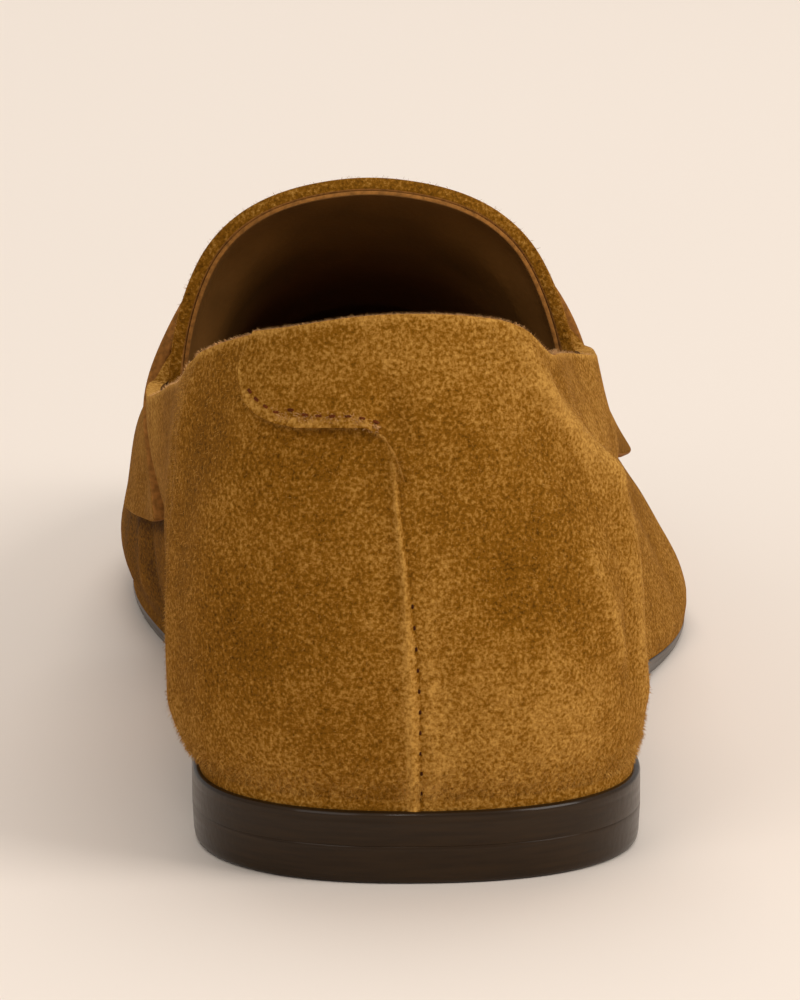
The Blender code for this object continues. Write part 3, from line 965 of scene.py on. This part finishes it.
class LOAFER_OT_tongue(bpy.types.Operator):
    """Make the tongue: suede outside, smooth lining inside with its pale cut edge"""

    bl_idname = "loafer.tongue"
    bl_label = "Tongue"

    def execute(self, context):
        sizes, looks = context.scene.loafer_sizes, finishes()

        def back(down):
            curve = (TONGUE_BACK_SIDE - TONGUE_BACK_CREST) * (down / TONGUE_DOWN) ** 2
            return TONGUE_BACK_CREST + curve

        def front(down):
            return np.full_like(down, TONGUE_FRONT)

        downs = across(TONGUE_DOWN, TONGUE_DOWN, TONGUE_COLUMNS)
        grid, y, normal = instep_band(downs, back, front, TONGUE_ROWS)
        open_by = np.where(downs < 0, GAPE[MEDIAL], GAPE[LATERAL]) - TONGUE_TUCK
        lip = open_by * smooth_step(TONGUE_LIP_START, TONGUE_LIP_FULL, np.abs(downs))
        grid = grid + normal * (gape(y) * lip[:, None])[..., None]
        under = sizes.upper_wall / MM + TONGUE_GAP
        inside = under + sizes.tongue_suede / MM + LINING_GAP
        suede, lining, raw = looks["suede"], looks["lining"], looks["raw"]
        layers = (
            ("tongue_suede", under, sizes.tongue_suede, [suede, raw], 1, 0, sizes.edge_round),
            ("tongue_lining", inside, sizes.tongue_lining, [lining, raw], 0, 1, LINING_ROUND),
        )
        for name, depth, thickness, used, inner, rim, soft in layers:
            piece = face_up_sheet(name, grid - normal * depth, used)
            set_tone(piece, np.full(len(piece.data.vertices), TONGUE_TONE))
            thicken(piece, thickness, inner, rim, soft)
            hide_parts("tongue")
        return {"FINISHED"}


# The strap's grid, its faint ripples as height, length along the shoe and turns across, its
# lifted ends, where it stands off over each side as height, place and width, and its tones:
# painted light on the crests of the ripples, and darker towards the lateral end
STRAP_COLUMNS, STRAP_ROWS, STRAP_PRESS = 60, 30, 0.1
STRAP_RIPPLES = ((0.12, 4.0, 9), (0.1, 7, 23))
STRAP_END_LIFT, STRAP_END_REACH = 0.3, 0.06
STRAP_STAND = {MEDIAL: (1.4, -0.53, 0.09), LATERAL: (0.3, 0.46, 0.14)}
STRAP_TONE, STRAP_RIPPLE_PAINTED_LIGHT, STRAP_END_DARKER, STRAP_END_DARKER_REACH = 0.15, 0.8, 0.9, 0.07


class LOAFER_OT_strap(bpy.types.Operator):
    """Make the saddle strap over the instep"""

    bl_idname = "loafer.strap"
    bl_label = "Saddle strap"

    def execute(self, context):
        sizes, looks = context.scene.loafer_sizes, finishes()
        downs = across(STRAP_DOWN[MEDIAL], STRAP_DOWN[LATERAL], STRAP_COLUMNS)
        grid, y, normal = instep_band(downs, strap_back, strap_front, STRAP_ROWS)
        ripple = sum(
            height * np.sin(y / length + downs[:, None] * turns)
            for height, length, turns in STRAP_RIPPLES
        )
        lateral = downs > 0
        ends = np.where(downs < 0, STRAP_DOWN[MEDIAL], STRAP_DOWN[LATERAL]) - np.abs(downs)
        stand = STRAP_END_LIFT * smooth_step(STRAP_END_REACH, 0.0, ends)
        for side, shown in ((LATERAL, lateral), (MEDIAL, ~lateral)):
            height, place, width = STRAP_STAND[side]
            stand = stand + height * shown * bell(downs - place, width)
        lift = SEAT_GAP - STRAP_PRESS + sizes.strap / MM + (ripple + stand[:, None])
        piece = face_up_sheet(
            "saddle_strap_suede", grid + normal * lift[..., None], [looks["suede"], looks["raw"]]
        )
        darker_end = STRAP_END_DARKER * lateral * smooth_step(STRAP_END_DARKER_REACH, 0.0, ends)
        # Painted light on the ripples' crests, and darker towards the lateral end
        tone = STRAP_TONE + STRAP_RIPPLE_PAINTED_LIGHT * ripple - darker_end[:, None]
        set_tone(piece, tone.ravel())
        thicken(piece, sizes.strap, 1, 1, sizes.edge_round)
        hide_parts("saddle_strap")
        return {"FINISHED"}


# The tab's grid, as a gap along its edge and shares of the way up to the collar
TAB_GAP, TAB_SPACING, TAB_OVER_COLLAR = 0.45, 0.9, 0.05
TAB_ROWS = np.concatenate([[0, 0.03, 0.07], np.linspace(0.11, 1, 24)])
# Where it stands proud, where it thins out into the seam, and how its root sinks into the wall
TAB_PROUD_END, TAB_FLAT_START = -3.0, 12.0
TAB_THIN_START, TAB_THIN_FULL, TAB_THIN_UP = -7.5, -3.5, 0.6
TAB_SEAT, TAB_SUNK, TAB_ROOT_SUNK, TAB_ROOT_START, TAB_ROOT_FULL = 0.06, 0.5, 0.3, 6.0, 14.0
# Its frayed edge swells unevenly, and its edge is rolled and rubbed paler up to the seam
FRAY_MEAN, FRAY_SWING, FRAY_FULL, FRAY_END = 0.25, 0.2, 0.02, 0.16
FRAY_FAST, FRAY_SLOW = 4.1, 2.3
ROLLED_TONE, ROLLED_FULL, ROLLED_END, ROLLED_FROM, ROLLED_TO = 0.75, 0.04, 0.13, -7.5, -4.5
TAB_ROUND = 0.0004


def tab_body(way):
    """How far the tab stands proud along the collar, from 1 at its free end to 0 at its root."""
    return 1 - smooth_step(TAB_PROUD_END, TAB_FLAT_START, way)


def tab_fade(way, up):
    """How much of its thickness the tab keeps: it thins out into the seam at its inner corner."""
    return 1 - smooth_step(TAB_THIN_START, TAB_THIN_FULL, way) * smooth_step(TAB_THIN_UP, 0.0, up)


class LOAFER_OT_back_tab(bpy.types.Operator):
    """Make the back tab, sewn over the medial quarter"""

    bl_idname = "loafer.back_tab"
    bl_label = "Back tab"

    def execute(self, context):
        sizes, looks = context.scene.loafer_sizes, finishes()
        edge = spaced(TAB_EDGE, TAB_GAP)
        share = np.linspace(0, 1, len(edge))
        collar = TAB_CORNER + (TAB_EDGE[-1][0] - TAB_CORNER) * share**TAB_SPACING
        top = collar_height(collar) + TAB_OVER_COLLAR
        up = TAB_ROWS[None, :]
        ways = edge[:, :1] + (collar - edge[:, 0])[:, None] * up
        z = edge[:, 1:] + (top - edge[:, 1])[:, None] * up
        proud = sizes.tab / MM * tab_body(ways)
        fade = tab_fade(ways, up)
        fray = FRAY_MEAN + FRAY_SWING * np.sin(ways * FRAY_FAST) * np.sin(ways * FRAY_SLOW + 1)
        fray = fray * smooth_step(FRAY_END, FRAY_FULL, up)
        root = TAB_ROOT_SUNK * smooth_step(TAB_ROOT_START, TAB_ROOT_FULL, ways)
        sunk = np.minimum(TAB_SUNK * (1 - fade) + root, TAB_SUNK)
        lift = TAB_SEAT - sunk + np.maximum(proud * fade + fray * fade, 0)
        points, _ = skin_at(ways, z, lift)
        piece = mesh_object(
            "back_tab_suede",
            points.reshape(-1, 3),
            grid_faces(*points.shape[:2]),
            [looks["suede"], looks["raw"]],
        )
        rolled = ROLLED_TONE * smooth_step(ROLLED_END, ROLLED_FULL, up)
        rolled = rolled * smooth_step(ROLLED_TO, ROLLED_FROM, ways)
        set_tone(piece, (nap_tone(ways, z) + rolled).ravel())
        thicken(piece, sizes.tab, 0, 0, TAB_ROUND)
        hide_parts("back_tab")
        return {"FINISHED"}


# Rows of the sole's edge: how far each draws it in, and its share of the way from the top
# to the bottom. The heel's and the insole's rows give a height in place of the share.
SOLE_PROFILE = [
    (3.0, 0.0), (0.7, 0.0), (0.34, 0.01), (0.1, 0.05),
    (0.0, 0.13), (0.0, 0.3), (0.04, 0.34), (0.0, 0.38),
    (0.0, 0.55), (0.0, 0.78), (0.0, 0.97), (0.03, 0.997),
    (1.2, 1.0),
]
HEEL_PROFILE = [
    (1.0, 5.28), (0.05, 5.28), (0.01, 5.22), (0.0, 4.6),
    (0.2, 1.2), (0.35, 0.5), (0.6, 0.15), (1.1, 0.0),
]
INSOLE_PROFILE = [(6.0, 2.35), (2.9, 2.5), (2.35, 2.3), (2.25, 1.9), (2.25, 0.0)]
UNDERCUT, UNDERCUT_FROM, SEAT_END, FOREPART_START = 0.9, 0.4, 36.0, 70.0
BREAST_CLEAR = 0.5
LEAST_MITER = 0.5


def outline_loop(ys):
    """The sole's outline as a closed loop, lateral side first, with its outward direction."""
    lateral = np.stack([edge_x(np.full_like(ys, LATERAL), ys), ys], -1)
    medial = np.stack([edge_x(np.full_like(ys, MEDIAL), ys), ys], -1)
    loop = np.concatenate([lateral, medial[::-1]])
    loop = loop[np.linalg.norm(loop - np.roll(loop, 1, axis=0), axis=-1) > TINY]
    before = unit(loop - np.roll(loop, 1, axis=0))
    after = unit(np.roll(loop, -1, axis=0) - loop)
    tangent = unit(before + after)
    outward = np.stack([tangent[:, 1], -tangent[:, 0]], -1)
    miter = (outward * np.stack([before[:, 1], -before[:, 0]], -1)).sum(-1)
    return loop, outward / np.clip(miter, LEAST_MITER, 1)[:, None]


def turned_solid(name, ys, profile, height_of, inset_of, look):
    """A sole piece: rings of the outline, drawn in by each row of a profile, and closed."""
    loop, outward = outline_loop(ys)
    count = len(loop)
    along = loop[:, 1]
    rings = []
    for inset, level in profile:
        flat = loop - outward * inset_of(along, inset, level)[:, None]
        rings.append(np.column_stack([flat, height_of(along, level)]))
    faces = []
    for r in range(len(rings) - 1):
        for i in range(count):
            j = (i + 1) % count
            faces.append((r * count + i, (r + 1) * count + i, (r + 1) * count + j, r * count + j))
    for first, turn in ((0, 1), ((len(rings) - 1) * count, -1)):
        left, right = 0, count - 1
        while left < right - 1:
            corners = [first + left, first + left + 1, first + right - 1, first + right]
            faces.append(list(dict.fromkeys(corners))[::turn])
            left, right = left + 1, right - 1
    return mesh_object(name, np.concatenate(rings), faces, [look])


class LOAFER_OT_sole(bpy.types.Operator):
    """Make the outsole with its lipped, burnished edge, and the heel"""

    bl_idname = "loafer.sole"
    bl_label = "Sole and heel"

    def execute(self, context):
        edge = finishes()["edge"]

        def sole_height(y, share):
            return sole_top(y) + (sole_under(y) - sole_top(y)) * share

        def undercut(y, inset, share):
            """The forepart's edge slopes in to the floor, the heel seat's stays upright."""
            slope = UNDERCUT * max(0, share - UNDERCUT_FROM)
            return inset + slope * smooth_step(SEAT_END, FOREPART_START, y)

        def heel_height(y, level):
            return np.full_like(y, level)

        def heel_inset(y, inset, level):
            return np.full_like(y, inset)

        sole = turned_solid(
            "outsole_leather", STATIONS, SOLE_PROFILE, sole_height, undercut, edge
        )
        ys = np.append(STATIONS[STATIONS < HEEL_BREAST - BREAST_CLEAR], HEEL_BREAST)
        heel = turned_solid("heel_leather", ys, HEEL_PROFILE, heel_height, heel_inset, edge)
        for piece, node in ((sole, "outsole"), (heel, "heel")):
            piece.data.set_sharp_from_angle(angle=SHARP_ANGLE)
            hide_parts(node)
        return {"FINISHED"}


class LOAFER_OT_insole(bpy.types.Operator):
    """Make the insole that the foot stands on"""

    bl_idname = "loafer.insole"
    bl_label = "Insole"

    def execute(self, context):
        piece = turned_solid(
            "insole_leather",
            STATIONS,
            INSOLE_PROFILE,
            lambda y, level: sole_top(y) + SEAT_GAP + level,
            lambda y, inset, level: inset + feather(y),
            finishes()["lining"],
        )
        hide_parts("insole")
        return {"FINISHED"}


# A stitch is a spindle: rings as their place along it, their girth and how far they sink.
SPINDLE_SIDES = 6
SPINDLE_RINGS = [(-0.5, 0.25, 0.35), (-0.25, 0.9, 0), (0.25, 0.9, 0), (0.5, 0.25, 0.35)]
STITCH_SEED, STITCH_GAP, STITCH_WANDER, STITCH_LIFT = 3, 1.9, 0.13, 0.08
STITCH_LONG, STITCH_WIDE, STITCH_UP, STITCH_AHEAD = 1.2, 0.5, 0.12, 0.1
HOLE_FOOT, HOLE_TOP, HOLE_GAP, HOLE_LIFT, HOLE_LONG, HOLE_WIDE = 12.5, 39, 2.9, 0.05, 0.75, 0.42


def spindles(centres, along, normal, length, width):
    """Small thread stitches as one mesh: a spindle at each place."""
    points, faces = [], []
    sides = range(SPINDLE_SIDES)
    for c, a, n in zip(centres, along, normal):
        a = a / np.linalg.norm(a)
        b = np.cross(n, a)
        first = len(points)
        for shift, girth, sunk in SPINDLE_RINGS:
            for k in sides:
                turn = 2 * math.pi * k / SPINDLE_SIDES
                ring = (b * math.cos(turn) + n * math.sin(turn)) * width * 0.5 * girth
                points.append(c + a * shift * length + ring - n * (sunk * width))
        for r in range(len(SPINDLE_RINGS) - 1):
            q = first + r * SPINDLE_SIDES
            for k in sides:
                j = (k + 1) % SPINDLE_SIDES
                faces.append((q + k, q + j, q + SPINDLE_SIDES + j, q + SPINDLE_SIDES + k))
        faces.append(tuple(first + k for k in reversed(sides)))
        faces.append(tuple(len(points) - SPINDLE_SIDES + k for k in sides))
    return points, faces


class LOAFER_OT_stitching(bpy.types.Operator):
    """Sew the back tab down and mark the needle holes of the back seam"""

    bl_idname = "loafer.stitching"
    bl_label = "Stitching"

    def execute(self, context):
        sizes, looks = context.scene.loafer_sizes, finishes()
        chance = np.random.default_rng(STITCH_SEED)
        places = spaced(TAB_STITCHES, STITCH_GAP)
        places = places + chance.normal(0, STITCH_WANDER, places.shape)
        lift = sizes.tab / MM * tab_fade(places[:, 0], STITCH_UP) + STITCH_LIFT
        centres, normals = skin_at(*places.T, lift)
        ahead, _ = skin_at(*(places + np.gradient(places, axis=0) * STITCH_AHEAD).T, lift)
        points, faces = spindles(centres, ahead - centres, normals, STITCH_LONG, STITCH_WIDE)
        tab = mesh_object("stitches_back_tab", points, faces, [looks["thread"]])
        z = np.arange(HOLE_FOOT, HOLE_TOP, HOLE_GAP)
        centres, normals = skin_at(seam_line(z), z, HOLE_LIFT)
        upright = np.tile(UP, (len(z), 1))
        points, faces = spindles(centres, upright, normals, HOLE_LONG, HOLE_WIDE)
        seam = mesh_object("stitches_back_seam", points, faces, [looks["hole"]])
        return {"FINISHED"}


# Roots of the loose fibres, each set with the directions out of the shoe
FIBRE_SEED = 7
WALL_COUNT, WALL_REACH, WALL_FOOT, WALL_CLEAR = 15000, 60, 12.5, 1.0
COLLAR_COUNT, COLLAR_FAR, COLLAR_NEAR = 5000, 102, 42
RIM_COUNT, RIM_REACH, RIM_FOOT, RIM_SPREAD = 6000, 80, 1.5, 2.4
TAB_FIBRE_GAP, TAB_FIBRE_LIFT = 0.02, 0.2
TONGUE_FIBRE_GAP, TONGUE_CENTRE = 0.06, (-3.0, 0, 45.0)


def wall_roots(chance, sizes):
    """All over the quarters behind."""
    way = chance.uniform(-WALL_REACH, WALL_REACH, WALL_COUNT)
    height = collar_height(way) - WALL_FOOT - WALL_CLEAR
    z = WALL_FOOT + height * chance.random(len(way))
    return skin_at(way, z)


def collar_roots(chance, sizes):
    """Along the cut edge of the collar, closest together at the back."""
    reaches = (COLLAR_FAR, COLLAR_NEAR)
    way = np.concatenate([chance.uniform(-reach, reach, COLLAR_COUNT) for reach in reaches])
    proud = sizes.tab / MM * tab_body(way) * (way > TAB_CORNER)
    roots, normals = skin_at(way, collar_height(way), proud)
    inside = chance.random(len(way)) * (sizes.upper_wall / MM + proud)
    return roots - normals * inside[:, None], normals


def rim_roots(chance, sizes):
    """Where the suede meets the sole."""
    way = chance.uniform(-RIM_REACH, RIM_REACH, RIM_COUNT)
    above = RIM_FOOT + np.abs(chance.normal(0, RIM_SPREAD, len(way)))
    return skin_at(way, sole_top(along_shoe(way)) + above)


def tab_roots(chance, sizes):
    """Along the free edge of the back tab."""
    edge = spaced(TAB_FREE_EDGE, TAB_FIBRE_GAP)
    highest = sizes.tab / MM + TAB_FIBRE_LIFT
    return skin_at(*edge.T, chance.uniform(TAB_FIBRE_LIFT, highest, len(edge)))


def tongue_roots(chance, sizes):
    """Along the back edge of the tongue."""
    tongue = bpy.data.objects["tongue_suede"].data
    rim = np.zeros(len(tongue.vertices) * 3, np.float32)
    tongue.vertices.foreach_get("co", rim)
    path = spaced(rim.reshape(-1, TONGUE_ROWS, 3)[:, 0] / MM, TONGUE_FIBRE_GAP)
    outward = path - np.array(TONGUE_CENTRE)
    outward[:, 1] = 0
    outward = unit(outward)
    inside = chance.random(len(path))[:, None] * sizes.tongue_suede / MM
    return path - outward * inside, outward


# Each set of fibres: how far they stand out, where they lean, how they wander, their length
# as a share of a fibre's, their width and their finish, 0 for the nap and 1 for a cut edge.
FibreSet = namedtuple("FibreSet", "roots out lean wander long width finish")
FIBRE_SETS = [
    FibreSet(wall_roots, 0.75, (0, 0, -0.7), 0.45, 0.8, 0.07, 0),
    FibreSet(collar_roots, 0.5, (0, 0, 0.9), 0.5, 0.85, 0.09, 1),
    FibreSet(rim_roots, 0.7, (0, 0, -0.9), 0.4, 1.1, 0.09, 0),
    FibreSet(tab_roots, 0.6, (-0.2, 0, -0.8), 0.5, 0.9, 0.07, 0),
    FibreSet(tongue_roots, 0.7, (0, -0.7, 0), 0.5, 0.9, 0.07, 0),
]
SHORTEST, LONGEST, ASKEW = 0.5, 1.2, 0.01
# The frayed band below the stitches of the tab, with short thick fibres that lie flat
BAND_GAP, BAND_WANDER, BAND_DROP, BAND_SPREAD, BAND_LIFT = 0.012, 0.3, -0.5, 0.35, 0.05
BAND_OUT, BAND_TANGLE, BAND_SHORTEST, BAND_LONGEST, BAND_WIDTH = 0.1, 0.7, 0.3, 0.7, 0.12


def fibre_mesh(roots, directions, lengths, width):
    """Fibres as single slim triangles, joined in one mesh."""
    directions = unit(directions)
    sideways = np.cross(directions, np.roll(directions, 1, axis=-1) + ASKEW)
    sideways *= (width / 2 / np.linalg.norm(sideways, axis=-1))[:, None]
    tips = roots + directions * lengths[:, None]
    points = np.stack([roots - sideways, roots + sideways, tips], axis=1).reshape(-1, 3)
    return points, np.arange(len(points)).reshape(-1, 3)


class LOAFER_OT_fibres(bpy.types.Operator):
    """Raise loose fibres on the nap and along the cut edges"""

    bl_idname = "loafer.fibres"
    bl_label = "Nap fibres"

    def execute(self, context):
        sizes, looks = context.scene.loafer_sizes, finishes()
        chance = np.random.default_rng(FIBRE_SEED)
        rooted = []
        for row in FIBRE_SETS:
            roots, outward = row.roots(chance, sizes)
            wander = chance.normal(0, row.wander, roots.shape)
            rooted.append((roots, outward * row.out + np.array(row.lean) + wander))
        points, faces, slots = [], [], []
        for row, (roots, directions) in zip(FIBRE_SETS, rooted):
            lengths = sizes.fibre / MM * row.long * chance.uniform(SHORTEST, LONGEST, len(roots))
            fresh, triangles = fibre_mesh(roots, directions, lengths, row.width)
            faces += (triangles + sum(len(p) for p in points)).tolist()
            points.append(fresh)
            slots += [row.finish] * len(triangles)
        used = [looks["fibre"], looks["fray"]]
        piece = mesh_object("nap_fibres", np.concatenate(points), faces, used, slots)
        band = spaced(TAB_FRAYED, BAND_GAP)
        wander = chance.normal(0, BAND_WANDER, len(band))
        drop = chance.normal(BAND_DROP, BAND_SPREAD, len(band))
        band = band + np.column_stack([wander, drop])
        lift = sizes.tab / MM * tab_fade(band[:, 0], STITCH_UP) + BAND_LIFT
        roots, normals = skin_at(*band.T, lift)
        directions = normals * BAND_OUT + chance.normal(0, BAND_TANGLE, roots.shape)
        lengths = chance.uniform(BAND_SHORTEST, BAND_LONGEST, len(roots))
        points, faces = fibre_mesh(roots, directions, lengths, BAND_WIDTH)
        piece = mesh_object("frayed_tab_edge", points, faces.tolist(), [looks["fray"]])
        return {"FINISHED"}


# Stage, in metres: a large pale floor, soft lamps with their size and power, and the camera
FLOOR_SIZE, FLOOR_COLOUR = 12, "#EADFD4"
SKY_COLOUR, SKY_STRENGTH, LAMP_COLOUR = "#FFFBF7", 0.42, "#FFFAF5"
LAMPS = (
    ("softbox_right", (1.7, -0.7, 1.2), 1.2, 27),
    ("softbox_left", (-1.2, -1.4, 1.1), 1.2, 9),
    ("softbox_above", (0.1, 1.2, 2.0), 1.8, 24),
    ("strip_behind", (-0.1, -1.9, 1.5), 0.35, 4.5),
)
LAMP_AIM = (0, 0.06, 0.04)
CAMERA_PLACE, CAMERA_AIM = (-0.047, -1.130, 0.281), (-0.0015, 0.0, 0.0465)
CAMERA_LENS, CAMERA_SENSOR, CAMERA_REACH = 305, 36, 50


def aimed(name, data, place, aim):
    """A lamp or camera at a place, turned towards another."""
    holder = bpy.data.objects.new(name, data)
    holder.location = place
    holder.rotation_euler = (Vector(aim) - Vector(place)).to_track_quat("-Z", "Y").to_euler()
    bpy.context.scene.collection.objects.link(holder)
    return holder


class LOAFER_OT_stage(bpy.types.Operator):
    """Set the floor, the soft lights and the camera"""

    bl_idname = "loafer.stage"
    bl_label = "Stage"

    def execute(self, context):
        scene = context.scene
        bpy.ops.mesh.primitive_plane_add(size=FLOOR_SIZE)
        floor = context.active_object
        floor.name = "floor"
        paint = make_material("paint_studio_cream", painted_studio, linear(FLOOR_COLOUR))
        floor.data.materials.append(paint)
        scene.world = bpy.data.worlds.new("studio")
        scene.world.use_nodes = True
        sky = scene.world.node_tree.nodes["Background"].inputs
        sky["Color"].default_value = (*linear(SKY_COLOUR), 1)
        sky["Strength"].default_value = SKY_STRENGTH
        for name, place, size, power in LAMPS:
            lamp = bpy.data.lights.new(name, "AREA")
            lamp.size = size
            lamp.energy = power
            lamp.color = linear(LAMP_COLOUR)
            aimed(name, lamp, place, LAMP_AIM)
        camera = bpy.data.cameras.new("camera")
        camera.lens = CAMERA_LENS
        camera.sensor_width = CAMERA_SENSOR
        camera.clip_end = CAMERA_REACH
        scene.camera = aimed("camera", camera, CAMERA_PLACE, CAMERA_AIM)
        scene.view_settings.view_transform = "Standard"
        return {"FINISHED"}


class LOAFER_PT_panel(bpy.types.Panel):
    """Sizes, colours and pieces of the loafer"""

    bl_label = "Loafer"
    bl_idname = "LOAFER_PT_panel"
    bl_space_type = "VIEW_3D"
    bl_region_type = "UI"
    bl_category = "Loafer"

    def draw(self, context):
        for group in (context.scene.loafer_sizes, context.scene.loafer_colours):
            box = self.layout.box()
            for key in group.__annotations__:
                box.prop(group, key)
        for operator in OPERATORS:
            self.layout.operator(operator.bl_idname)


OPERATORS = (
    LOAFER_OT_upper,
    LOAFER_OT_tongue,
    LOAFER_OT_strap,
    LOAFER_OT_back_tab,
    LOAFER_OT_sole,
    LOAFER_OT_insole,
    LOAFER_OT_stitching,
    LOAFER_OT_fibres,
    LOAFER_OT_stage,
)
CLASSES = (LoaferSizes, LoaferColours, *OPERATORS, LOAFER_PT_panel)


def register():
    for kind in CLASSES:
        bpy.utils.register_class(kind)
    bpy.types.Scene.loafer_sizes = PointerProperty(type=LoaferSizes)
    bpy.types.Scene.loafer_colours = PointerProperty(type=LoaferColours)


def unregister():
    del bpy.types.Scene.loafer_sizes
    del bpy.types.Scene.loafer_colours
    for kind in reversed(CLASSES):
        bpy.utils.unregister_class(kind)


def main():
    register()
    for operator in OPERATORS:
        group, name = operator.bl_idname.split(".")
        getattr(getattr(bpy.ops, group), name)()


if __name__ == "__main__":
    main()
